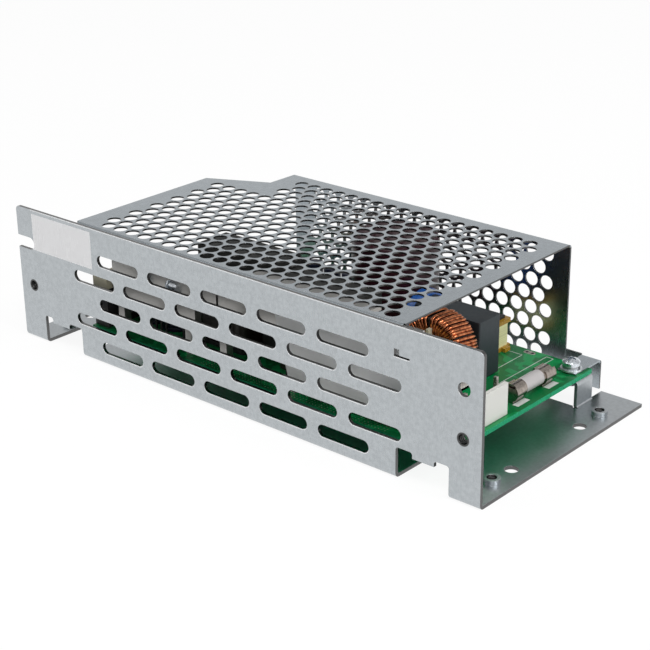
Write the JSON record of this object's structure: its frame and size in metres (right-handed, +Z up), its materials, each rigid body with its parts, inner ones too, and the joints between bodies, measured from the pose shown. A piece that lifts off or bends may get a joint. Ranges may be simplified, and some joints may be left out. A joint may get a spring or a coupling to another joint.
{
  "type": "open frame power supply",
  "caption": "Open frame power supply: a folded sheet chassis with a slotted front wall and drilled ears carries a circuit board under a folded perforated cover.",
  "frame": {"origin": "middle of the base's underside, at the centre of the bounding box", "axes": "+X to the right along the slotted front wall, +Y from the front wall to the back, +Z up"},
  "size_m": [0.2044, 0.09, 0.05],
  "materials": {
    "galvanised_sheet": "zinc coated sheet, faint spangle, satin",
    "cover_sheet": "zinc coated sheet, satin",
    "solder_mask": "green solder mask, glossy",
    "zinc_plate": "zinc plated, bright",
    "spring_steel": "spring steel, satin",
    "white_nylon": "off-white nylon",
    "tin_plate": "tinned, bright",
    "fuse_ceramic": "white ceramic, satin",
    "nickel_plate": "nickel plated, slightly dull",
    "capacitor_case": "dark blue-grey moulding",
    "ferrite": "dark ferrite, matt",
    "enamelled_copper": "enamelled copper wire, glossy",
    "black_plastic": "black moulding",
    "amber_resin": "amber varnished bobbin",
    "yellow_tape": "pale yellow tape, satin",
    "blue_epoxy": "blue dipped epoxy",
    "maroon_sleeve": "dark maroon shrink sleeve",
    "heatsink_aluminium": "bare aluminium, satin",
    "dark_sleeve": "dark shrink sleeve",
    "yellow_core": "yellow coated powder core",
    "cream_nylon": "cream nylon",
    "dark_winding": "dark tape over a varnished winding",
    "green_epoxy": "dark green dipped epoxy",
    "resistor_lacquer": "pale blue lacquer"
  },
  "bodies": {
    "root": {"chassis": "galvanised_sheet", "cover_top": "cover_sheet", "cover_rear_wall": "cover_sheet", "cover_flange": "cover_sheet", "cover_tabs": "cover_sheet", "circuit_board": "solder_mask", "board_standoffs": "zinc_plate", "board_screws": "zinc_plate", "board_lock_washers": "spring_steel", "board_flat_washers": "zinc_plate", "input_connector": "white_nylon", "input_pins": "tin_plate", "fuse_tube": "fuse_ceramic", "fuse_caps": "nickel_plate", "fuse_clips": "nickel_plate", "x_capacitor": "capacitor_case", "choke_core": "ferrite", "choke_windings": "enamelled_copper", "choke_base": "black_plastic", "choke_divider": "cream_nylon", "tape_choke_bobbin": "amber_resin", "tape_choke_core": "ferrite", "tape_choke_tape": "yellow_tape", "surge_absorber": "blue_epoxy", "surge_absorber_leads": "tin_plate", "bulk_capacitor": "maroon_sleeve", "primary_heatsink": "heatsink_aluminium", "primary_transistors": "black_plastic", "transistor_tabs": "tin_plate", "bridge_rectifier": "black_plastic", "transformer_core": "ferrite", "transformer_bobbin": "black_plastic", "transformer_tape": "dark_winding", "secondary_heatsink": "heatsink_aluminium", "output_rectifiers": "black_plastic", "rectifier_tabs": "tin_plate", "heatsink_screws": "zinc_plate", "output_capacitors": "dark_sleeve", "output_choke_core": "yellow_core", "output_choke_winding": "enamelled_copper", "output_connector": "cream_nylon", "output_pins": "tin_plate", "boost_choke_core": "ferrite", "boost_choke_winding": "dark_winding", "film_capacitor": "yellow_tape", "inrush_thermistor": "green_epoxy", "control_chips": "black_plastic", "optocoupler": "cream_nylon", "power_resistors": "resistor_lacquer", "small_capacitors": "dark_sleeve"}
  },
  "joints": []
}
